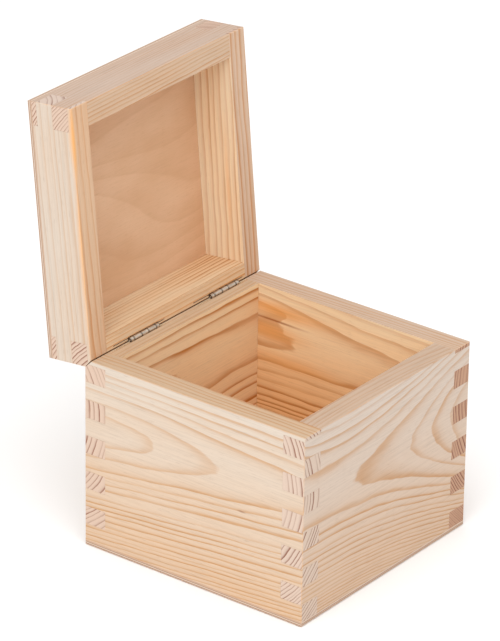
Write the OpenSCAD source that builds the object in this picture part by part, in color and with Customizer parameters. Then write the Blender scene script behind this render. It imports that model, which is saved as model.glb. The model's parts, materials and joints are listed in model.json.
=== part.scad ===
// Hinged-lid box in pine, finger jointed, shown with its lid open against the stop.
// The origin is the middle of the underside, Z is up and the front faces -Y.

/* [Box] */
// Width of box and lid, along the hinge line
box_w = 160; // [135:1:300]
// Depth of box and lid, front to back
box_d = 159; // [80:1:300]
// Height of the body, from the table to its rim
box_h = 121; // [50:1:250]
// Thickness of the body's walls
wall_t = 15; // [12:0.5:25]
// Thickness of the panel glued under the walls
bottom_t = 3; // [2:0.5:8]

/* [Lid] */
// Height of the lid's frame, without its panel
lid_frame_h = 29; // [22:0.5:80]
// Thickness of the lid's rails
rail_t = 14.5; // [12:0.5:25]
// Thickness of the panel glued over the rails
top_t = 3; // [2:0.5:8]
// Angle between the two rims when the lid rests on its stop
open_angle = 95.5; // [90:0.5:110]

/* [Finger joints] */
// Width of one finger
finger_w = 11.6; // [6:0.1:20]
// Width of the part finger left at each sawn rim
rim_finger = 2.5; // [1:0.5:5]
// Narrowest finger left at the far end of a row
least_finger = 2; // [1:0.5:4]
// Film of glue between two jointed faces
glue_film = 0.06; // [0:0.01:0.15]
// Width of the sanded corner on every outer edge
arris = 0.4; // [0.2:0.1:1]

/* [Hinges] */
// Length of one hinge
hinge_len = 26.5; // [22:0.5:40]
// Middle of the left hinge, from the left end of the box
left_hinge_x = 48; // [42:1:60]
// Middle of the right hinge, from the right end of the box
right_hinge_x = 36; // [30:0.5:45]
// Centre of the hinge pin, in from the back face
hinge_inset = 5; // [3.5:0.1:6]
// Diameter of the hinge pin
pin_d = 1.6; // [1.4:0.1:2.5]
// Thickness of the sheet that the leaves are rolled from
leaf_t = 0.7; // [0.5:0.1:1]
// Depth of a leaf below the pin's centre
leaf_depth = 8; // [6.5:0.5:10]
// Width of a leaf at its deep end
leaf_tip_w = 16; // [10:1:22]
// Depth at which a leaf starts to narrow
leaf_shoulder = 4.2; // [3.5:0.1:5]
// Length of the body leaf's two end knuckles
end_knuckle = 3; // [2.5:0.1:5]
// Length of the body leaf's middle knuckle
middle_knuckle = 5.9; // [4:0.1:8]
// Distance of each end of the pin inside the last knuckle
pin_recess = 0.8; // [0.2:0.1:1.5]

/* [Hinge seats in the wood] */
// Extra length of a saw cut over its hinge
kerf_overrun = 21.5; // [14:0.5:26]
// Extra depth of a saw cut below its leaf
kerf_spare = 6; // [3:0.5:8]
// Middle of the left saw cut, to the left of its hinge's middle
left_kerf_shift = 3.5; // [0:0.5:6]
// Middle of the right saw cut, to the left of its hinge's middle
right_kerf_shift = 4.5; // [0:0.5:6]

/* [Fits] */
// Play of the pin in the lid's knuckles, on the radius
pin_play = 0.05; // [0.02:0.01:0.1]
// Gap between neighbouring knuckles
knuckle_play = 0.15; // [0.1:0.05:0.3]
// Gap between a leaf and each side of its saw cut
leaf_play = 0.05; // [0.02:0.01:0.1]
// Gap around a barrel in its pocket, on the radius
pocket_play = 0.4; // [0.2:0.1:1.2]
// Gap past each end of a barrel
pocket_end_play = 0.7; // [0.3:0.1:2]
// Gap between the two rims when the lid is shut
rim_gap = 1; // [0.4:0.1:2]
// Gap left at the back between the two bevels when the lid is open
stop_gap = 0.1; // [0.05:0.05:0.3]
// Start of each bevel, in front of the pin's centre
bevel_lead = 0.1; // [0:0.1:0.5]

/* [Barbs] */
// Spacing of the barbs along a leaf's slanted sides
barb_pitch = 1.5; // [1:0.1:3]
// Height of a barb
barb_h = 0.35; // [0.1:0.05:0.5]

/* [Hidden] */

$fn = 48;

// Overshoot of a cutting shape past the face it leaves
over = 1;

wall_h = box_h - bottom_t - glue_film;
lid_h = lid_frame_h + glue_film + top_t;

// Hinge axis
pin_r = pin_d / 2;
barrel_r = pin_r + pin_play + leaf_t;
axis_y = box_d / 2 - hinge_inset;
axis_z = box_h + rim_gap / 2;
left_x = -box_w / 2 + left_hinge_x;
right_x = box_w / 2 - right_hinge_x;

// Each leaf leaves its barrel on the side nearest the front, so both saw cuts
// lie in one plane when the lid is shut
leaf_y = -(barrel_r - leaf_t / 2);
pocket_r = barrel_r + pocket_play;

// Round saw blade that leaves a cut of this length and depth
kerf_len = hinge_len + kerf_overrun;
kerf_depth = leaf_depth + kerf_spare;
saw_r = (pow(kerf_len / 2, 2) + pow(kerf_depth, 2)) / (2 * kerf_depth);

lid_knuckle = (hinge_len - 2 * end_knuckle - middle_knuckle) / 2;
// Clear of the pocket, so that the sheet there shows only at its own knuckles
neck_depth = pocket_r + leaf_play;

// Knuckles from the middle outwards, as [inner end, outer end]
body_knuckles = [
    [-hinge_len / 2, -hinge_len / 2 + end_knuckle],
    [-middle_knuckle / 2, middle_knuckle / 2],
    [hinge_len / 2 - end_knuckle, hinge_len / 2]
];
lid_knuckles = [
    for (side = [-1, 1])
        let (mid = side * (middle_knuckle + lid_knuckle) / 2)
        [mid - lid_knuckle / 2 + knuckle_play, mid + lid_knuckle / 2 - knuckle_play]
];

// ---- Wood ----

// Depths below the rim at which one finger ends and the next starts. The part
// finger at the rim comes first, and a strip too narrow to cut joins the last.
function finger_edges(height) = concat(
    [0],
    [for (depth = rim_finger; depth < height - least_finger; depth = depth + finger_w) depth],
    [height]
);

// Right-hand end of a jointed board, from its rim down. Fingers reach the full
// half length, and the gaps between them stop short by the mating board.
function jointed_end(half_len, height, mate_t, first) =
    let (edges = finger_edges(height), last = len(edges) - 2)
    [for (i = [0 : last])
        let (finger = i % 2 == first)
        let (reach = finger ? half_len : half_len - mate_t - glue_film)
        let (film = (finger ? 1 : -1) * glue_film / 2)
        let (top = edges[i] + (i == 0 ? 0 : film))
        let (bottom = edges[i + 1] - (i == last ? 0 : film))
        each [[reach, -top], [reach, -bottom]]];

// Board standing on edge with a row of fingers at each end. Its rim is on the
// X axis, it hangs below that, and its thickness runs towards +Z.
module jointed_board(length, height, thick, mate_t, first) {
    right = jointed_end(length / 2, height, mate_t, first);
    left = [for (i = [len(right) - 1 : -1 : 0]) [-right[i][0], right[i][1]]];
    linear_extrude(thick) polygon(concat(right, left));
}

// Front and back boards leave the part finger at the rim to the side boards.
module front_board(height, thick) {
    translate([0, -box_d / 2 + thick, 0]) rotate([90, 0, 0])
        jointed_board(box_w, height, thick, thick, 1);
}

module back_board(height, thick) {
    translate([0, box_d / 2, 0]) rotate([90, 0, 0])
        jointed_board(box_w, height, thick, thick, 1);
}

module left_board(height, thick) {
    translate([-box_w / 2, 0, 0]) rotate([90, 0, 90])
        jointed_board(box_d, height, thick, thick, 0);
}

module right_board(height, thick) {
    translate([box_w / 2 - thick, 0, 0]) rotate([90, 0, 90])
        jointed_board(box_d, height, thick, thick, 0);
}

module panel(height, thick) {
    translate([-box_w / 2, -box_d / 2, -height]) cube([box_w, box_d, thick]);
}

// Rectangle about the origin with its four corners sanded off
module sanded_rect(width, height) {
    x = width / 2;
    y = height / 2;
    polygon([
        [-x + arris, -y], [x - arris, -y], [x, -y + arris], [x, y - arris],
        [x - arris, y], [-x + arris, y], [-x, y - arris], [-x, -y + arris]
    ]);
}

// Outer form of a whole frame and its panel, all edges sanded, hanging from its rim
module sanded_block(height) {
    translate([0, 0, -height / 2]) intersection() {
        linear_extrude(height + 2 * over, center = true) sanded_rect(box_w, box_d);
        rotate([90, 0, 90])
            linear_extrude(box_w + 2 * over, center = true) sanded_rect(box_d, height);
        rotate([90, 0, 0])
            linear_extrude(box_d + 2 * over, center = true) sanded_rect(box_w, height);
    }
}

// ---- Cuts for the hinges, drawn below a rim at Z = 0 ----

// Bevel along the back edge. Its lower edge is the stop: it lies on the plane
// halfway between the two rims when the lid is open.
module back_bevel() {
    half_open = open_angle / 2;
    start = [axis_y - bevel_lead, 0];
    stop = [box_d / 2, rim_gap / 2 - hinge_inset * tan(half_open) - stop_gap / 2 / cos(half_open)];
    along = (stop - start) / norm(stop - start);
    high = start - 2 * over * along;
    low = stop + 2 * over * along;
    rotate([90, 0, 90]) linear_extrude(box_w + 2 * over, center = true)
        polygon([high, low, [low[0], high[1]]]);
}

// Pocket for one barrel and the saw cut for its leaf
module hinge_seat(x, kerf_shift) {
    translate([x, axis_y, rim_gap / 2]) rotate([0, 90, 0])
        cylinder(h = hinge_len + 2 * pocket_end_play, r = pocket_r, center = true);
    translate([x - kerf_shift, axis_y + leaf_y, saw_r - kerf_depth]) rotate([90, 0, 0])
        cylinder(h = leaf_t + 2 * leaf_play, r = saw_r, center = true, $fn = 96);
}

// All that is cut away for the hinges, from whichever boards it meets
module hinge_cuts() {
    back_bevel();
    hinge_seat(left_x, left_kerf_shift);
    hinge_seat(right_x, right_kerf_shift);
}

// ---- Placing ----

module on_body() {
    translate([0, 0, box_h]) children();
}

// Turns a part of the shut lid about the hinge pins into its open place
module opened() {
    translate([0, axis_y, axis_z]) rotate([-open_angle, 0, 0])
        translate([0, -axis_y, -axis_z]) children();
}

// The lid is drawn as the body is, hanging from its rim, and turned over
module on_lid() {
    opened() translate([0, 0, box_h + rim_gap]) mirror([0, 0, 1]) children();
}

module sanded(height) {
    intersection() {
        children();
        sanded_block(height);
    }
}

// ---- Body ----

module body_front_wall() {
    color("#edd6b3") on_body() sanded(box_h) front_board(wall_h, wall_t);
}

module body_back_wall() {
    color("#e6c598") on_body() difference() {
        sanded(box_h) back_board(wall_h, wall_t);
        hinge_cuts();
    }
}

module body_left_wall() {
    color("#f2e2c8") on_body() difference() {
        sanded(box_h) left_board(wall_h, wall_t);
        hinge_cuts();
    }
}

module body_right_wall() {
    color("#e6c598") on_body() difference() {
        sanded(box_h) right_board(wall_h, wall_t);
        hinge_cuts();
    }
}

module body_bottom_panel() {
    color("#dcb98a") on_body() sanded(box_h) panel(box_h, bottom_t);
}

// ---- Lid ----

module lid_front_rail() {
    color("#edd0a4") on_lid() sanded(lid_h) front_board(lid_frame_h, rail_t);
}

module lid_back_rail() {
    color("#e3bd8c") on_lid() difference() {
        sanded(lid_h) back_board(lid_frame_h, rail_t);
        hinge_cuts();
    }
}

module lid_left_rail() {
    color("#f0dcbb") on_lid() difference() {
        sanded(lid_h) left_board(lid_frame_h, rail_t);
        hinge_cuts();
    }
}

module lid_right_rail() {
    color("#e3bd8c") on_lid() difference() {
        sanded(lid_h) right_board(lid_frame_h, rail_t);
        hinge_cuts();
    }
}

module lid_top_panel() {
    color("#d2a87a") on_lid() sanded(lid_h) panel(lid_h, top_t);
}

// ---- Hinges, drawn about the pin with the leaf hanging down ----

module knuckle(span, bore_r) {
    translate([span[0], 0, 0]) rotate([0, 90, 0]) difference() {
        cylinder(h = span[1] - span[0], r = barrel_r);
        translate([0, 0, -over]) cylinder(h = span[1] - span[0] + 2 * over, r = bore_r);
    }
}

// Slanted side of a leaf with its barbs, from the shoulder down
function barbed_side() =
    let (top = [hinge_len / 2, -leaf_shoulder], tip = [leaf_tip_w / 2, -leaf_depth])
    let (run = norm(tip - top), along = (tip - top) / run)
    let (out = [-along[1], along[0]], count = max(1, floor(run / barb_pitch)))
    [for (i = [0 : count - 1])
        each [top + along * (i * run / count),
              top + along * ((i + 1) * run / count) - out * barb_h]];

// Plate of a leaf: it narrows below the shoulder, and is cut back to neck_depth
// everywhere but at its own knuckles
module leaf_plate(knuckles) {
    side = barbed_side();
    other_side = [for (i = [len(side) - 1 : -1 : 0]) [-side[i][0], side[i][1]]];
    translate([0, leaf_y + leaf_t / 2, 0]) rotate([90, 0, 0]) linear_extrude(leaf_t) {
        polygon(concat([[hinge_len / 2, -neck_depth]], side,
            [[leaf_tip_w / 2, -leaf_depth], [-leaf_tip_w / 2, -leaf_depth]],
            other_side, [[-hinge_len / 2, -neck_depth]]));
        for (span = knuckles)
            translate([span[0], -neck_depth - over / 2])
                square([span[1] - span[0], neck_depth + over / 2]);
    }
}

module hinge_leaf(knuckles, bore_r) {
    difference() {
        union() {
            for (span = knuckles) knuckle(span, bore_r);
            leaf_plate(knuckles);
        }
        rotate([0, 90, 0]) cylinder(h = hinge_len + 2 * over, r = bore_r, center = true);
    }
}

// The pin is held by the body's leaf and turns in the lid's
module body_leaf(x) {
    translate([x, axis_y, axis_z]) hinge_leaf(body_knuckles, pin_r);
}

module lid_leaf(x) {
    translate([x, axis_y, axis_z]) rotate([-open_angle, 0, 0]) mirror([0, 0, 1])
        hinge_leaf(lid_knuckles, pin_r + pin_play);
}

module hinge_pin(x) {
    translate([x, axis_y, axis_z]) rotate([0, 90, 0])
        cylinder(h = hinge_len - 2 * pin_recess, r = pin_r, center = true);
}

module hinge_left_body_leaf() { color("#b9b4aa") body_leaf(left_x); }
module hinge_left_lid_leaf() { color("#c6c1b8") lid_leaf(left_x); }
module hinge_left_pin() { color("#8f8b84") hinge_pin(left_x); }
module hinge_right_body_leaf() { color("#b9b4aa") body_leaf(right_x); }
module hinge_right_lid_leaf() { color("#c6c1b8") lid_leaf(right_x); }
module hinge_right_pin() { color("#8f8b84") hinge_pin(right_x); }

body_front_wall();
body_back_wall();
body_left_wall();
body_right_wall();
body_bottom_panel();
lid_front_rail();
lid_back_rail();
lid_left_rail();
lid_right_rail();
lid_top_panel();
hinge_left_body_leaf();
hinge_left_lid_leaf();
hinge_left_pin();
hinge_right_body_leaf();
hinge_right_lid_leaf();
hinge_right_pin();
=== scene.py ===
import json
import math

import bmesh
import bpy
import numpy as np
from mathutils import Matrix, Vector


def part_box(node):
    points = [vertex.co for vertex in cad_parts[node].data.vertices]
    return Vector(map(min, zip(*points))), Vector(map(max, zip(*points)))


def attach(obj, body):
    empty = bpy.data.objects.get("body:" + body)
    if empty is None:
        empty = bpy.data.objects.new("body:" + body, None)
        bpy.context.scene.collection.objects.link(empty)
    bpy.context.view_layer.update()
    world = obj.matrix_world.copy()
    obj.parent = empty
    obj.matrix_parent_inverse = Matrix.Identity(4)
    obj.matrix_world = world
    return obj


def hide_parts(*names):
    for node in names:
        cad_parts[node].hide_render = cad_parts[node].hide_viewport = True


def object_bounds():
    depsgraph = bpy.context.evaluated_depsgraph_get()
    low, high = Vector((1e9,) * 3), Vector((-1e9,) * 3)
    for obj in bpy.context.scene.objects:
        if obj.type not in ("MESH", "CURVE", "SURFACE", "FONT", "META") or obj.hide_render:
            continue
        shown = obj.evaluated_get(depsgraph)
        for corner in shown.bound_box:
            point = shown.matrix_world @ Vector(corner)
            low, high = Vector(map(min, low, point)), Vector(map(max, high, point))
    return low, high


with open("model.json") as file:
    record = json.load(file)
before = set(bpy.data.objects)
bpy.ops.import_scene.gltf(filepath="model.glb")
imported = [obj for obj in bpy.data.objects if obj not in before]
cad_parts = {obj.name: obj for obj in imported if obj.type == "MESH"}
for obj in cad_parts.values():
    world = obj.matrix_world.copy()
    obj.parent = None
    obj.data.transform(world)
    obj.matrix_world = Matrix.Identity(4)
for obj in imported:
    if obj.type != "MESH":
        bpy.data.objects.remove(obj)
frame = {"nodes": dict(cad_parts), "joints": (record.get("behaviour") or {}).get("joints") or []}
cadLow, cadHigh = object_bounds()
print("frame loaded,", len(frame["nodes"]), "pieces from CAD")

# The lid turns about this line. At rest it stands open by the whole travel.
lidJoint = frame["joints"][0]
hingeLine = Vector(lidJoint["pos_m"])
openAngle = math.radians(max(lidJoint["range_deg"]))
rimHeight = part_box("body_left_wall")[1].z
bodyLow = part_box("body_bottom_panel")[0]
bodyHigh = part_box("body_bottom_panel")[1]
shutRimHeight = 2 * hingeLine.z - rimHeight  # the lid's own rim when shut
lidTurn = Matrix.Rotation(-openAngle, 3, "X")
millimetre = 0.001


def fromBytes(red, green, blue):
    # Screen colour 0 to 255 turned into the linear light that shaders use
    parts = [v / 255 for v in (red, green, blue)]
    return tuple(p / 12.92 if p <= 0.04045 else ((p + 0.055) / 1.055) ** 2.4 for p in parts) + (1.0,)


class Graph:
    # One material's node tree, with short calls that return the new output socket
    def __init__(self, name):
        self.material = bpy.data.materials.new(name)
        self.material.use_nodes = True
        self.tree = self.material.node_tree
        self.tree.nodes.clear()

    def add(self, kind, values=None, **options):
        made = self.tree.nodes.new(kind)
        for key, value in options.items():
            setattr(made, key, value)
        for key, value in (values or {}).items():
            if isinstance(value, bpy.types.NodeSocket):
                self.tree.links.new(value, made.inputs[key])
            else:
                made.inputs[key].default_value = value
        return made

    def math(self, operation, *values, clamp=False):
        made = self.add("ShaderNodeMath", dict(enumerate(values)), operation=operation, use_clamp=clamp)
        return made.outputs[0]

    def vector(self, operation, *values):
        made = self.add("ShaderNodeVectorMath", operation=operation)
        for slot, value in enumerate(values):
            if isinstance(value, bpy.types.NodeSocket):
                self.tree.links.new(value, made.inputs[slot])
            elif operation == "SCALE" and slot == 1:
                made.inputs["Scale"].default_value = value
            else:
                made.inputs[slot].default_value = value
        return made.outputs["Value" if operation in ("LENGTH", "DOT_PRODUCT") else "Vector"]

    def split(self, vector):
        return self.add("ShaderNodeSeparateXYZ", {0: vector}).outputs[:]

    def join(self, x, y, z):
        return self.add("ShaderNodeCombineXYZ", {0: x, 1: y, 2: z}).outputs[0]

    def place(self, vector, location, turn, scale):
        # Takes a vector into a frame that stands at location with the given turn and unit
        return self.add("ShaderNodeMapping", {"Vector": vector, "Location": location,
                                              "Rotation": turn, "Scale": (scale,) * 3},
                        vector_type="TEXTURE").outputs[0]

    def noise(self, vector, scale=1.0, detail=2.0, roughness=0.5, output=0):
        made = self.add("ShaderNodeTexNoise", {"Vector": vector, "Scale": scale, "Detail": detail,
                                               "Roughness": roughness})
        return made.outputs[output]

    def wave(self, value, scale, detail=1.0):
        # Smooth variation along one number
        made = self.add("ShaderNodeTexNoise", noise_dimensions="1D")
        self.tree.links.new(value, made.inputs["W"])
        made.inputs["Scale"].default_value = scale
        made.inputs["Detail"].default_value = detail
        return made.outputs[0]

    def spread(self, value, low, high, toLow=0.0, toHigh=1.0, smooth=False):
        return self.add("ShaderNodeMapRange",
                        {"Value": value, "From Min": low, "From Max": high,
                         "To Min": toLow, "To Max": toHigh},
                        interpolation_type="SMOOTHSTEP" if smooth else "LINEAR").outputs[0]

    def mix(self, share, first, second, blend="MIX"):
        made = self.add("ShaderNodeMix", data_type="RGBA", blend_type=blend)
        for slot, value in ((0, share), (6, first), (7, second)):
            if isinstance(value, bpy.types.NodeSocket):
                self.tree.links.new(value, made.inputs[slot])
            else:
                made.inputs[slot].default_value = value
        return made.outputs[2]

    def ramp(self, value, stops, interpolation="LINEAR"):
        made = self.add("ShaderNodeValToRGB", {0: value})
        ramp = made.color_ramp
        ramp.interpolation = interpolation
        while len(ramp.elements) < len(stops):
            ramp.elements.new(0.5)
        for element, (position, shade) in zip(ramp.elements, stops):
            element.position = position
            element.color = shade if isinstance(shade, tuple) else (shade, shade, shade, 1)
        return made.outputs[0]

    def finish(self, colour, roughness, height, bumpDepth, **fixed):
        # Bump in metres; the fixed values go straight onto the shader's own sockets
        shader = self.add("ShaderNodeBsdfPrincipled", {"Base Color": colour, "Roughness": roughness})
        for key, value in fixed.items():
            shader.inputs[key].default_value = value
        bump = self.add("ShaderNodeBump", {"Height": height, "Distance": bumpDepth, "Strength": 1.0})
        self.tree.links.new(bump.outputs[0], shader.inputs["Normal"])
        output = self.add("ShaderNodeOutputMaterial")
        self.tree.links.new(shader.outputs[0], output.inputs["Surface"])
        return self.material


def dress(node, material):
    # Puts a material on every slot of a CAD piece
    piece = frame["nodes"][node]
    for slot in piece.material_slots:
        slot.material = material
    if not piece.material_slots:
        piece.data.materials.append(material)


pineColours = {
    "early": fromBytes(240, 221, 200),      # pale spring wood
    "warm": fromBytes(241, 199, 158),       # the same wood in its warmer clouds
    "late": fromBytes(218, 162, 108),       # summer wood, the dark line of each ring
    "lateInside": fromBytes(190, 126, 68),    # the same on the inner faces, darker: partly the wood's own colour and partly painted shade
    "endEarly": fromBytes(240, 218, 200),
    "endLate": fromBytes(160, 110, 88),
    "canal": fromBytes(150, 104, 76),
    "resin": fromBytes(164, 88, 28),
    "amber": fromBytes(240, 172, 96),
}

# Sizes are repeats per mm along the grain, down the board and through it
pineGrain = {
    "slowBends": (0.006, 0.016, 0.016),
    "smallBends": (0.03, 0.11, 0.11),
    "smallBendDepth": (0, 1.3, 1.3),    # mm
    "patches": (0.012, 0.05, 0.05),
    "fibres": (0.03, 1.15, 1.15),
    "canals": (0.16, 3.4, 3.4),
    "canalShare": 0.2,
    "clouds": (0.009, 0.045, 0.045),
    "pores": (2.0, 5.5, 5.5),           # on the ends of the fingers
    "rubbing": (0.25, 0.25, 0.25),      # wear on the sanded corners
    "ringShape": ((0.0, 0.4), (0.03, 0.02), (0.45, 0.04), (0.7, 0.24),
                  (0.86, 0.78), (0.95, 1.0), (0.985, 0.85), (1.0, 0.4)),
    "goodYears": 0.13,                  # swings between wide and narrow rings, per mm
    "swing": 0.9,
    "bump": 0.00008,                    # metres
}

# Each board was cut beside the heart of its tree. Lengths are in millimetres.
# heart: depth below the rim and distance out from the outer face, at the board's middle
# drift and bow: how that moves per mm along the board, and per mm squared; waver: slow bends
# ring: width of a year's ring at the distance ringAt, and tighten makes rings outside that finer
# lateShare: under 1 the dark wood takes up more of each ring
# contrast: strength of the dark lines on the outer face, the inner face and the rim
# warmth: share of the warm clouds, and warmDown adds to it per mm below the rim
# outer, inner, rim, ends: tone of each kind of face, as red, green and blue. The outer, inner and rim
# tones are partly the wood's own colour and partly painted light and shade: cooler outer faces, warmer
# inner faces, darker rims
# swells: bulges of the rings, as (along, down, length, height, rise)
# stains: resin, as (colour, share, (along, down, out), (half sizes))
pineBoards = {
    "body_left_wall": {
        "faces": (-1, 0, 0), "heart": (40, 40), "drift": (0.055, -0.043), "bow": (0, 0), "waver": 4,
        "ring": 3.7, "ringAt": 40.5, "tighten": 0.006, "lateShare": 0.9, "contrast": (0.68, 1.0, 0.82),
        "warmth": 0.2, "warmDown": 0.006, "seed": 3.1,
        "outer": (0.76, 0.785, 0.82), "inner": (1, 0.9, 0.78), "rim": (0.65, 0.575, 0.485),
        "ends": (0.74, 0.72, 0.7),
        "swells": ((62, 40, 50, 14, -3.6),),
        "stains": (("canal", 0.7, (-35.5, 61.5, 0), (4.5, 1.1, 2)),),
    },
    "body_front_wall": {
        "faces": (0, -1, 0), "heart": (42.5, -70.1), "drift": (-0.052, -0.076), "bow": (0, 0.00095),
        "waver": 4,
        "ring": 2.9, "ringAt": 71.1, "tighten": 0.017, "lateShare": 0.95, "contrast": (0.72, 1.0, 0.6),
        "warmth": 0.1, "warmDown": 0.006, "seed": 8.4,
        "outer": (0.726, 0.745, 0.8), "inner": (1, 0.9, 0.78), "rim": (0.61, 0.54, 0.495),
        "ends": (0.76, 0.73, 0.715), "swells": ((80, 42, 30, 40, 1.5),), "stains": (),
    },
    "body_right_wall": {
        "faces": (1, 0, 0), "heart": (30, 72), "drift": (0.02, 0.012), "bow": (0, 0), "waver": 3,
        "ring": 2.4, "ringAt": 88.6, "tighten": 0.019, "lateShare": 0.8, "contrast": (0.7, 0.5, 0.7),
        "warmth": 0.3, "warmDown": 0.0115, "seed": 5.7,
        "outer": (0.78, 0.79, 0.8), "inner": (1.08, 1.07, 0.9), "rim": (0.655, 0.595, 0.56),
        "ends": (0.59, 0.43, 0.335),
        "swells": ((-62, 14, 36, 6, -1.5), (-60, 37, 34, 5, -0.8), (-10, 46, 26, 4, -0.7)),
        "stains": (("amber", 0.8, (-50, 14, -15), (52, 8, 8)),
                   ("amber", 0.65, (-58, 29, -15), (46, 9, 8)),
                   ("amber", 0.5, (-40, 47, -15), (60, 8, 8)),
                   ("resin", 0.85, (-52, 21.2, -15), (34, 1.2, 6))),
    },
    "body_back_wall": {
        "faces": (0, 1, 0), "heart": (35, 50), "drift": (-0.01, 0.006), "bow": (0, 0), "waver": 3,
        "ring": 3.3, "ringAt": 67.2, "tighten": 0.004, "lateShare": 0.95, "contrast": (0.7, 1.3, 0.9),
        "warmth": 0.35, "warmDown": 0.001, "seed": 1.9,
        "outer": (0.76, 0.76, 0.77), "inner": (1.05, 0.97, 0.77), "rim": (0.65, 0.57, 0.475),
        "ends": (0.76, 0.7, 0.66), "swells": (), "stains": (),
    },
    "lid_left_rail": {
        "faces": (-1, 0, 0), "heart": (60, 30), "drift": (0.01, 0.015), "bow": (0, 0), "waver": 4,
        "ring": 3.6, "ringAt": 60.0, "tighten": 0.002, "lateShare": 1.0, "contrast": (0.45, 0.8, 0.85),
        "warmth": 0.3, "warmDown": 0.0, "seed": 2.6,
        "outer": (0.73, 0.74, 0.765), "inner": (1, 0.92, 0.82), "rim": (0.755, 0.62, 0.505),
        "ends": (0.7, 0.68, 0.68),
        "swells": (), "stains": (("amber", 0.8, (60, 0, -1), (34, 5, 2.4)),
                                 ("amber", 0.5, (-10, 0, 0), (80, 4, 1.2))),
    },
    "lid_front_rail": {
        "faces": (0, -1, 0), "heart": (-40, -55), "drift": (0.02, 0.02), "bow": (0, 0), "waver": 5,
        "ring": 1.8, "ringAt": 60.0, "tighten": 0.001, "lateShare": 0.9, "contrast": (0.7, 0.8, 0.95),
        "warmth": 0.35, "warmDown": 0.0, "seed": 6.3,
        "outer": (0.62, 0.575, 0.58), "inner": (1, 0.92, 0.82), "rim": (0.7, 0.615, 0.54),
        "ends": (0.76, 0.7, 0.66), "swells": (), "stains": (),
    },
    "lid_right_rail": {
        "faces": (1, 0, 0), "heart": (70, 60), "drift": (-0.015, 0.02), "bow": (0, 0), "waver": 4,
        "ring": 2.6, "ringAt": 80.0, "tighten": 0.001, "lateShare": 0.75, "contrast": (0.7, 0.5, 1.0),
        "warmth": 0.4, "warmDown": 0.0, "seed": 4.2,
        "outer": (0.78, 0.79, 0.8), "inner": (1.03, 1.04, 0.94), "rim": (0.72, 0.62, 0.555),
        "ends": (0.7, 0.62, 0.57), "swells": (),
        "stains": (("amber", 0.35, (20, 9, -14.5), (60, 2.5, 6)),),
    },
    "lid_back_rail": {
        "faces": (0, 1, 0), "heart": (-45, 50), "drift": (0.01, 0.02), "bow": (0, 0), "waver": 4,
        "ring": 2.2, "ringAt": 62.0, "tighten": 0.001, "lateShare": 0.8, "contrast": (0.7, 0.75, 1.0),
        "warmth": 0.6, "warmDown": 0.0, "seed": 7.5,
        "outer": (0.78, 0.78, 0.78), "inner": (0.85, 0.79, 0.66), "rim": (0.87, 0.75, 0.59),
        "ends": (0.76, 0.7, 0.66), "swells": (), "stains": (),
    },
}


def boardFrame(node, faces):
    # Where a board's own axes stand: along the grain, away from the rim, and out of the
    # outer face. The lid's boards are worked out shut and then turned open with the lid.
    out = Vector(faces)
    onLid = node.startswith("lid_")
    away = Vector((0, 0, 1 if onLid else -1))
    along = away.cross(out)
    middle = Vector((
        {-1: bodyLow.x, 0: 0.0, 1: bodyHigh.x}[faces[0]],
        {-1: bodyLow.y, 0: 0.0, 1: bodyHigh.y}[faces[1]],
        shutRimHeight if onLid else rimHeight,
    ))
    axes = Matrix((along, away, out)).transposed()
    if onLid:
        middle = hingeLine + lidTurn @ (middle - hingeLine)
        axes = lidTurn @ axes
    return middle, axes.to_euler("XYZ")


def heartDistance(g, bent, board):
    # Length of the step from the heart line to a point, in the plane across the grain. The
    # heart line is a parabola beside the board, and swells add soft round bulges.
    along, down, out = g.split(bent)
    square = g.math("MULTIPLY", along, along)
    offsets = []
    for value, start, drift, bow in zip((down, out), board["heart"], board["drift"], board["bow"]):
        line = g.math("MULTIPLY_ADD", along, drift, start)
        line = g.math("MULTIPLY_ADD", square, bow, line)
        offsets.append(g.math("SUBTRACT", value, line))
    radius = g.vector("LENGTH", g.join(offsets[0], offsets[1], 0.0))
    for atAlong, atDown, length, height, rise in board["swells"]:
        across = g.math("DIVIDE", g.math("SUBTRACT", along, atAlong), length)
        upright = g.math("DIVIDE", g.math("SUBTRACT", down, atDown), height)
        far = g.math("ADD", g.math("MULTIPLY", across, across), g.math("MULTIPLY", upright, upright))
        bulge = g.math("EXPONENT", g.math("MULTIPLY", far, -1.0))
        radius = g.math("MULTIPLY_ADD", bulge, rise, radius)
    return radius


def ringDarkness(g, radius, board, seed):
    # Each year goes from pale spring wood slowly to dark summer wood, then stops sharply.
    # Rings get finer outwards, and good and poor years take turns.
    beyond = g.math("SUBTRACT", radius, board["ringAt"])
    year = g.math("MULTIPLY", beyond, g.math("MULTIPLY_ADD", beyond, board["tighten"], 1.0))
    year = g.math("DIVIDE", year, board["ring"])
    swing = g.math("SUBTRACT", g.wave(g.math("ADD", radius, seed), pineGrain["goodYears"]), 0.5)
    year = g.math("MULTIPLY_ADD", swing, pineGrain["swing"], year)
    chance = g.add("ShaderNodeTexWhiteNoise", noise_dimensions="1D")
    g.tree.links.new(g.math("ADD", g.math("FLOOR", year), seed), chance.inputs["W"])
    age = g.math("POWER", g.math("FRACT", year), board["lateShare"])
    late = g.ramp(age, pineGrain["ringShape"])
    return g.math("MULTIPLY", late, g.spread(chance.outputs[0], 0.0, 1.0, 0.5, 1.2))


def shifted(g, spot, stretch, shift):
    return g.vector("MULTIPLY_ADD", spot, stretch, (shift,) * 3)


def grey(tone):
    return (*tone, 1.0)


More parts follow.
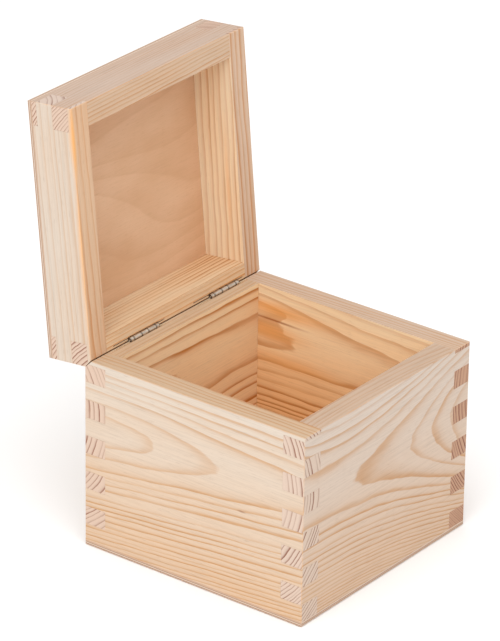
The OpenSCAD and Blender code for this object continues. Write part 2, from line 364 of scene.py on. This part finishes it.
def pine(node, board):
    g = Graph("pine_" + node)
    where, turn = boardFrame(node, board["faces"])
    coords = g.add("ShaderNodeTexCoord")
    spot = g.place(coords.outputs["Object"], where, turn, millimetre)
    facing = g.place(coords.outputs["Normal"], (0, 0, 0), turn, 1.0)
    seed = board["seed"] * 17.0

    # Bends of the grain: slow long ones first, then small ones
    slow = g.noise(shifted(g, spot, pineGrain["slowBends"], seed), detail=1, output=1)
    waver = (0, board["waver"], board["waver"])
    bent = g.vector("MULTIPLY_ADD", g.vector("SUBTRACT", slow, (0.5,) * 3), waver, spot)
    fine = g.noise(shifted(g, spot, pineGrain["smallBends"], seed + 40), detail=2, output=1)
    bent = g.vector("MULTIPLY_ADD", g.vector("SUBTRACT", fine, (0.5,) * 3),
                    pineGrain["smallBendDepth"], bent)

    late = ringDarkness(g, heartDistance(g, bent, board), board, seed)
    patchy = g.noise(shifted(g, spot, pineGrain["patches"], seed + 9), detail=2)
    late = g.math("MULTIPLY", late, g.spread(patchy, 0.3, 0.7, 0.65, 1.4), clamp=True)

    # Which kind of face this is: outer, inner, rim, or the end of a finger
    lengthwise, downward, outward = g.split(facing)
    isInner = g.math("MULTIPLY", outward, -1.0, clamp=True)
    isRim = g.math("MULTIPLY", downward, -1.0, clamp=True)
    isEnd = g.spread(g.math("ABSOLUTE", lengthwise), 0.8, 0.95)

    # Fibres, resin canals and warmer clouds
    fibre = g.noise(shifted(g, spot, pineGrain["fibres"], seed + 3), detail=3, roughness=0.6)
    canal = g.spread(g.noise(shifted(g, spot, pineGrain["canals"], seed + 21), detail=0), 0.70, 0.80)
    cloud = g.noise(shifted(g, spot, pineGrain["clouds"], seed + 14), detail=2)
    depth = g.split(spot)[1]
    cloud = g.math("MULTIPLY_ADD", g.spread(cloud, 0.35, 0.7), board["warmth"],
                   g.math("MULTIPLY", depth, board["warmDown"]), clamp=True)

    # Sides of the board: long grain
    outerLines, innerLines, rimLines = board["contrast"]
    lines = g.math("MULTIPLY_ADD", isInner, innerLines - outerLines, outerLines)
    lines = g.math("MULTIPLY_ADD", isRim, rimLines - outerLines, lines)
    side = g.mix(cloud, pineColours["early"], pineColours["warm"])
    lines = g.math("MULTIPLY", lines, g.math("ADD", cloud, 0.8))
    # Inner faces take the darker summer wood, partly painted shade
    dark = g.mix(isInner, pineColours["late"], pineColours["lateInside"])
    side = g.mix(g.math("MULTIPLY", late, lines, clamp=True), side, dark)
    side = g.mix(g.math("MULTIPLY", canal, pineGrain["canalShare"]), side, pineColours["canal"])
    # Tone by kind of face, partly the wood's own colour and partly painted light and shade
    tone = g.mix(isInner, grey(board["outer"]), grey(board["inner"]))
    tone = g.mix(isRim, tone, grey(board["rim"]))
    side = g.mix(1.0, side, tone, "MULTIPLY")
    for colour, share, centre, sizes in board["stains"]:
        gap = g.vector("DIVIDE", g.vector("SUBTRACT", bent, centre), sizes)
        inside = g.spread(g.vector("LENGTH", gap), 0.0, 1.0, share, 0.0, smooth=True)
        side = g.mix(inside, side, pineColours[colour])

    # Ends of the fingers: open pores and much darker rings
    pores = g.noise(g.vector("MULTIPLY", spot, pineGrain["pores"]), detail=2, roughness=0.6)
    end = g.mix(g.math("POWER", late, 1.3), pineColours["endEarly"], pineColours["endLate"])
    end = g.mix(1.0, end, grey(board["ends"]), "MULTIPLY")
    colour = g.mix(isEnd, side, end)
    grain = g.mix(isEnd, fibre, pores)
    colour = g.mix(1.0, colour, g.ramp(grain, ((0.25, 0.88), (0.5, 0.985), (0.75, 1.03))), "MULTIPLY")

    # Sanded corners carry a little more wear
    flatX, flatY, flatZ = g.split(g.vector("ABSOLUTE", facing))
    flat = g.math("MAXIMUM", flatX, g.math("MAXIMUM", flatY, flatZ))
    corner = g.spread(flat, 0.8, 0.96, 1.0, 0.0)
    rub = g.noise(g.vector("MULTIPLY", spot, pineGrain["rubbing"]), detail=3)
    colour = g.mix(g.math("MULTIPLY", corner, g.spread(rub, 0.4, 0.65, 0.05, 0.3)),
                   colour, pineColours["late"])

    height = g.math("MULTIPLY_ADD", late, 0.5, g.math("MULTIPLY", grain, 0.5))
    height = g.math("SUBTRACT", height, g.math("MULTIPLY", canal, 0.3))
    roughness = g.math("MULTIPLY_ADD", late, -0.12, g.spread(grain, 0.3, 0.7, 0.72, 0.6))
    return g.finish(colour, roughness, height, pineGrain["bump"], **{"Specular IOR Level": 0.3})


for node, board in pineBoards.items():
    dress(node, pine(node, board))
print("pine dressed on", len(pineBoards), "boards")


birch = {
    "thickness": 3.0,       # mm
    "pale": fromBytes(222, 182, 147),
    "tan": fromBytes(212, 168, 130),
    "figure": fromBytes(196, 148, 110),
    "outside": 0.45,        # how far the outer face is paler than the inner one, whose darker tan is partly painted shade
    "outsidePale": fromBytes(236, 212, 182),
    # Sizes are repeats per mm along X, Y and Z
    "figureSize": (0.005, 0.016, 0.016),
    "bands": 7.0,           # broad bands from the middle of the figure to its edge
    "bandsPerMm": 0.05,
    "bandShape": ((0.0, 0.0), (0.3, 0.1), (0.75, 0.6), (0.93, 1.0), (1.0, 0.0)),
    "bandShare": 0.24,
    "fleckSize": (0.22, 2.6, 2.6),
    "fleckShare": 0.45,
    "fibreSize": (0.05, 1.6, 1.6),
    "cloudSize": (0.02, 0.03, 0.03),
    "plies": 3,
    "bump": 0.00005,        # metres
    "longPly": fromBytes(214, 192, 172),
    "endPly": fromBytes(198, 166, 142),
    "glue": fromBytes(122, 80, 58),
}


def plywood(node, onLid):
    g = Graph("birch_ply_" + node)
    coords = g.add("ShaderNodeTexCoord")
    # The panel's own frame starts at the middle of its lower face, with the lid shut
    turned = lidTurn if onLid else Matrix.Identity(3)
    corners = [turned.transposed() @ (v.co - hingeLine) for v in frame["nodes"][node].data.vertices]
    where = hingeLine + turned @ Vector((0, -hingeLine.y, min(corner.z for corner in corners)))
    turn = turned.to_euler("XYZ")
    spot = g.place(coords.outputs["Object"], where, turn, millimetre)
    normal = g.place(coords.outputs["Normal"], (0, 0, 0), turn, 1.0)
    outside = g.math("MULTIPLY", g.split(normal)[2], 1.0 if onLid else -1.0, clamp=True)
    acrossY, upright = g.split(g.vector("ABSOLUTE", normal))[1:]
    seed = 31.0 if onLid else 12.0

    # Rotary-cut face: the knife follows the rings, so the figure is broad and wavy
    bend = g.noise(shifted(g, spot, birch["figureSize"], seed), detail=1)
    y, z = g.split(spot)[1:]
    sweep = g.math("MULTIPLY_ADD", bend, birch["bands"], g.math("MULTIPLY", y, birch["bandsPerMm"]))
    band = g.ramp(g.math("FRACT", sweep), birch["bandShape"], "EASE")
    flecks = g.noise(shifted(g, spot, birch["fleckSize"], seed + 5), detail=2)
    fleck = g.spread(flecks, 0.58, 0.75)
    fibre = g.noise(shifted(g, spot, birch["fibreSize"], seed + 8), detail=4, roughness=0.65)
    cloud = g.noise(shifted(g, spot, birch["cloudSize"], seed + 2), detail=2)
    face = g.mix(g.spread(cloud, 0.35, 0.7), birch["pale"], birch["tan"])
    # Outer faces paler; the tan left on the inner faces is partly painted shade
    face = g.mix(g.math("MULTIPLY", outside, birch["outside"]), face, birch["outsidePale"])
    face = g.mix(g.math("MULTIPLY", band, birch["bandShare"]), face, birch["figure"])
    face = g.mix(g.math("MULTIPLY", fleck, birch["fleckShare"]), face, birch["figure"])

    # Edges: the outer plies run along X and the middle one across, with glue between them
    layer = g.math("DIVIDE", z, birch["thickness"] / birch["plies"])
    middlePly = g.math("MULTIPLY", g.math("GREATER_THAN", layer, 1.0), g.math("LESS_THAN", layer, 2.0))
    outerPlies = g.math("SUBTRACT", 1.0, middlePly)
    endOn = g.math("ABSOLUTE", g.math("SUBTRACT", g.spread(acrossY, 0.7, 0.9), outerPlies))
    edge = g.mix(endOn, birch["longPly"], birch["endPly"])
    seam = g.math("MINIMUM", g.math("ABSOLUTE", g.math("SUBTRACT", layer, 1.0)),
                  g.math("ABSOLUTE", g.math("SUBTRACT", layer, 2.0)))
    edge = g.mix(g.spread(seam, 0.08, 0.2, 0.9, 0.0), edge, birch["glue"])
    isFace = g.spread(upright, 0.7, 0.9)
    colour = g.mix(isFace, edge, face)
    colour = g.mix(1.0, colour, g.ramp(fibre, ((0.25, 0.9), (0.5, 0.98), (0.75, 1.0))), "MULTIPLY")
    height = g.math("SUBTRACT", fibre, g.math("MULTIPLY", fleck, 0.4))
    roughness = g.spread(fibre, 0.3, 0.7, 0.66, 0.54)
    return g.finish(colour, roughness, height, birch["bump"], **{"Specular IOR Level": 0.3})


dress("body_bottom_panel", plywood("body_bottom_panel", False))
dress("lid_top_panel", plywood("lid_top_panel", True))
print("plywood dressed")


nickel = {
    "bright": fromBytes(226, 212, 196),
    "dull": fromBytes(168, 150, 132),
    # Grime darkens the scratches, and the same colour is painted as shade at the knuckles' ends
    "grimeAndShade": fromBytes(58, 45, 34),
    "endShadeStrength": 0.6,          # how dark the painted shade is at the knuckles' ends
    "clouds": (0.3, 0.6, 0.6),          # repeats per mm
    "scratches": (0.6, 9.0, 9.0),
    "bump": 0.00001,                    # metres
}


def metal(name, polish, shadeEnds):
    g = Graph(name)
    coords = g.add("ShaderNodeTexCoord")
    spot = g.vector("SCALE", coords.outputs["Object"], 1 / millimetre)
    cloud = g.noise(g.vector("MULTIPLY", spot, nickel["clouds"]), detail=4)
    scratch = g.noise(g.vector("MULTIPLY", spot, nickel["scratches"]), detail=3, roughness=0.7)
    colour = g.mix(g.spread(cloud, 0.35, 0.7, 0.0, 0.7), nickel["bright"], nickel["dull"])
    colour = g.mix(g.spread(scratch, 0.62, 0.8, 0.0, 0.35), colour, nickel["grimeAndShade"])
    # Painted shade: each knuckle is darkened towards its ends, where the seams between knuckles fall in
    # shade
    if shadeEnds:
        endShadeAttribute = g.add("ShaderNodeAttribute", attribute_name="knuckleEnd")
        paintedEndShade = g.math("MULTIPLY", endShadeAttribute.outputs["Fac"], g.spread(cloud, 0.2, 0.8, nickel["endShadeStrength"], 0.5))
        colour = g.mix(paintedEndShade, colour, nickel["grimeAndShade"])
    roughness = g.spread(scratch, 0.3, 0.7, polish, polish + 0.15)
    return g.finish(colour, roughness, scratch, nickel["bump"], **{"Metallic": 1.0})


# Each leaf is one sheet rolled round the pin, where the CAD has closed rings
leafShape = {
    "endKnuckle": 3.0,      # mm along the pin, the body leaf's two outer knuckles
    "middleKnuckle": 5.9,
    "knuckleGap": 0.15,
    "neck": 2.0,            # mm below the pin where the knuckles join the plate
    "shoulder": 4.2,        # mm below the pin where the plate starts to narrow
    "tipWidth": 16.0,
    "barbs": 4,
    "barbHeight": 0.35,
    "wrap": 296.0,          # degrees of roll before the edge meets the plate
    "rollSteps": 44,
    "edgeRound": 0.24,      # mm, on the knuckles' long edges
    "shadeReach": 0.9,           # mm from a knuckle's end to where its painted shade has faded out
    "pinPlay": 0.05,        # mm between the pin and the roll
}


def ringOfFaces(loops, points):
    # Quads between each loop of points and the next, and one face over each end
    first = np.arange(points)
    after = (first + 1) % points
    starts = np.arange(loops - 1)[:, None] * points
    corners = (starts + first, starts + after, starts + points + after, starts + points + first)
    quads = np.stack(corners, axis=-1)
    last = (loops - 1) * points
    return quads.reshape(-1, 4).tolist() + [list(range(points))[::-1], list(range(last, last + points))]


def knuckleStrip(span, radius, sheet):
    # A rounded strip swept along a path that climbs straight from the plate and then
    # rolls on a circle: centre (-r cos t, r sin t), normal (-cos t, sin t)
    climb = np.linspace(-leafShape["neck"], 0, 5)[:-1]
    turn = np.radians(np.linspace(0, leafShape["wrap"], leafShape["rollSteps"]))
    centre = np.concatenate((np.stack((np.full_like(climb, -radius), climb), 1),
                             np.stack((-radius * np.cos(turn), radius * np.sin(turn)), 1)))
    normal = np.concatenate((np.tile((-1.0, 0.0), (len(climb), 1)),
                             np.stack((-np.cos(turn), np.sin(turn)), 1)))
    edge, half, long = leafShape["edgeRound"], sheet / 2, (span[1] - span[0]) / 2
    arc = np.radians(np.linspace(0, 90, 4))
    across, outward, paintedEndShade = [], [], []
    quarters = ((1, 1), (-1, 1), (-1, -1), (1, -1))
    for quarter, (signX, signOut) in enumerate(quarters):
        bend = arc + math.radians(90 * quarter)
        across += list(signX * (long - edge) + edge * np.cos(bend))
        outward += list(signOut * (half - edge) + edge * np.sin(bend))
        paintedEndShade += [1.0] * len(bend)
        if signOut == signX:
            # points along the flat, so that the painted shade fades out from the ends
            across += [signX * (long - leafShape["shadeReach"]), -signX * (long - leafShape["shadeReach"])]
            outward += [signOut * half] * 2
            paintedEndShade += [0.0, 0.0]
    across = np.array(across) + (span[0] + span[1]) / 2
    spots = centre[:, None, :] + normal[:, None, :] * np.array(outward)[None, :, None]
    x = np.broadcast_to(across, spots.shape[:2])
    strip = np.stack((x, spots[..., 0], spots[..., 1]), -1).reshape(-1, 3)
    return strip, ringOfFaces(len(centre), len(across)), np.tile(paintedEndShade, len(centre))


def barbedPlate(length, reach, radius, sheet):
    # Flat outline pushed out by the sheet's thickness. Each slanted side runs straight from
    # shoulder to tip in equal steps, and every step ends in a tooth set off square to it.
    top = np.array((length / 2, -leafShape["shoulder"]))
    tip = np.array((leafShape["tipWidth"] / 2, -reach))
    along = (tip - top) / np.linalg.norm(tip - top)
    out = np.array((-along[1], along[0]))
    steps = np.linspace(0, 1, leafShape["barbs"] + 1)
    root = top + (tip - top) * steps[:-1, None]
    tooth = top + (tip - top) * steps[1:, None] - out * leafShape["barbHeight"]
    side = np.stack((root, tooth), 1).reshape(-1, 2)
    side = np.concatenate((((length / 2, -leafShape["neck"]),), side, (tip,)))
    outline = np.concatenate((side, side[::-1] * (-1, 1)))
    depths = [np.full(len(outline), -radius + face * sheet / 2) for face in (-1, 1)]
    layers = [np.stack((outline[:, 0], depth, outline[:, 1]), 1) for depth in depths]
    return np.concatenate(layers), ringOfFaces(2, len(outline)), np.zeros(2 * len(outline))


def rolledLeaf(side, onLid, material):
    node = f"hinge_{side}_{'lid' if onLid else 'body'}_leaf"
    low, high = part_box(f"hinge_{side}_body_leaf")
    pinLow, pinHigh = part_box(f"hinge_{side}_pin")
    centre = (pinLow + pinHigh) / 2
    length, depth = (high.x - low.x) / millimetre, (centre.z - low.z) / millimetre
    barrel = (high.z - centre.z) / millimetre
    sheet = barrel - (pinHigh.z - pinLow.z) / 2 / millimetre - leafShape["pinPlay"]
    middle, outer = leafShape["middleKnuckle"] / 2, length / 2 - leafShape["endKnuckle"]
    if onLid:
        gap = leafShape["knuckleGap"]
        spans = [(-outer + gap, -middle - gap), (middle + gap, outer - gap)]
    else:
        spans = [(-length / 2, -outer), (-middle, middle), (outer, length / 2)]
    radius = barrel - sheet / 2
    parts = [knuckleStrip(span, radius, sheet) for span in spans]
    parts.append(barbedPlate(length, depth, radius, sheet))
    points = np.concatenate([part[0] for part in parts])
    counts = np.cumsum([0] + [len(part[0]) for part in parts])
    faces = [[index + start for index in face]
             for start, part in zip(counts, parts) for face in part[1]]
    if onLid:
        points = (points * (1, 1, -1)) @ np.array(lidTurn.transposed())
    mesh = bpy.data.meshes.new("rolled_" + node)
    mesh.from_pydata((points * millimetre + np.array(centre)).tolist(), [], faces)
    # Weight of the painted shade at each point, 1 at the knuckles' ends
    endShadeLayer = mesh.attributes.new("knuckleEnd", "FLOAT", "POINT")
    endShadeLayer.data.foreach_set("value", np.concatenate([part[2] for part in parts]).astype(np.float32))
    shell = bmesh.new()
    shell.from_mesh(mesh)
    bmesh.ops.recalc_face_normals(shell, faces=shell.faces)
    shell.to_mesh(mesh)
    shell.free()
    mesh.shade_smooth()
    mesh.set_sharp_from_angle(angle=math.radians(50))
    mesh.materials.append(material)
    leaf = bpy.data.objects.new("rolled_" + node, mesh)
    bpy.context.scene.collection.objects.link(leaf)
    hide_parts(node)
    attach(leaf, "lid" if onLid else "box")


rolledSheet = metal("nickel_plate", 0.3, True)
pinSteel = metal("nickel_pin", 0.34, False)
for side in ("left", "right"):
    for onLid in (False, True):
        rolledLeaf(side, onLid, rolledSheet)
    dress(f"hinge_{side}_pin", pinSteel)
print("hinge leaves rolled round their pins")


studio = {
    "floorSize": 12.0, "floorShade": 0.95, "worldLight": 0.86,
    "keyPower": 17.0, "keySize": 2.2, "keyFrom": (-2.5, -0.5, 1.5),
    "topPower": 31.0, "topSize": 2.0, "topFrom": (-0.9, -0.7, 2.5),
    "floorGap": 0.0002,     # metres below the box, so the two don't share a plane
    # The view as degrees round and above, with a slight roll; lengths in metres, lens in mm
    "azimuth": -52.765, "elevation": 25.72, "roll": 0.858, "distance": 2.77,
    "aim": (0.0313, 0.0449, 0.1147), "lens": 263.46, "sensor": 36.0,
}


def makeFloor():
    half = studio["floorSize"] / 2
    mesh = bpy.data.meshes.new("floor")
    level = cadLow.z - studio["floorGap"]
    corners = [(-half, -half, level), (half, -half, level), (half, half, level), (-half, half, level)]
    mesh.from_pydata(corners, [], [(0, 1, 2, 3)])
    floor = bpy.data.objects.new("floor", mesh)
    bpy.context.scene.collection.objects.link(floor)
    g = Graph("studio_floor")
    coords = g.add("ShaderNodeTexCoord")
    mottle = g.noise(coords.outputs["Object"], scale=3.0, detail=3)
    shade = studio["floorShade"]
    colour = g.mix(mottle, (shade, shade, shade, 1), (shade - 0.01, shade - 0.01, shade - 0.01, 1))
    mesh.materials.append(g.finish(colour, g.spread(mottle, 0.3, 0.7, 0.85, 0.95), mottle, 0.0001,
                                   **{"Specular IOR Level": 0.1}))


def makeLamp(name, power, size, place):
    lamp = bpy.data.lights.new(name, "AREA")
    lamp.energy, lamp.size = power, size
    thing = bpy.data.objects.new(name, lamp)
    bpy.context.scene.collection.objects.link(thing)
    thing.location = place
    aim = (cadLow + cadHigh) / 2 - Vector(place)
    thing.rotation_euler = aim.to_track_quat("-Z", "Y").to_euler()


def makeCamera():
    azimuth, elevation, roll = (math.radians(studio[k]) for k in ("azimuth", "elevation", "roll"))
    back = Vector((math.sin(azimuth) * math.cos(elevation),
                   -math.cos(azimuth) * math.cos(elevation), math.sin(elevation)))
    right = Vector((0, 0, 1)).cross(back).normalized()
    up = back.cross(right)
    rolledRight = right * math.cos(roll) + up * math.sin(roll)
    rolledUp = up * math.cos(roll) - right * math.sin(roll)
    data = bpy.data.cameras.new("camera")
    data.lens, data.sensor_width, data.clip_end = studio["lens"], studio["sensor"], 50
    camera = bpy.data.objects.new("camera", data)
    bpy.context.scene.collection.objects.link(camera)
    place = Vector(studio["aim"]) + back * studio["distance"]
    turn = Matrix((rolledRight, rolledUp, back)).transposed().to_4x4()
    camera.matrix_world = Matrix.Translation(place) @ turn
    bpy.context.scene.camera = camera


world = bpy.data.worlds.new("studio")
bpy.context.scene.world = world
world.use_nodes = True
world.node_tree.nodes["Background"].inputs["Color"].default_value = (1, 1, 1, 1)
world.node_tree.nodes["Background"].inputs["Strength"].default_value = studio["worldLight"]
makeFloor()
makeLamp("key", studio["keyPower"], studio["keySize"], studio["keyFrom"])
makeLamp("top", studio["topPower"], studio["topSize"], studio["topFrom"])
makeCamera()
bpy.context.scene.view_settings.view_transform = "Standard"
print("studio ready")
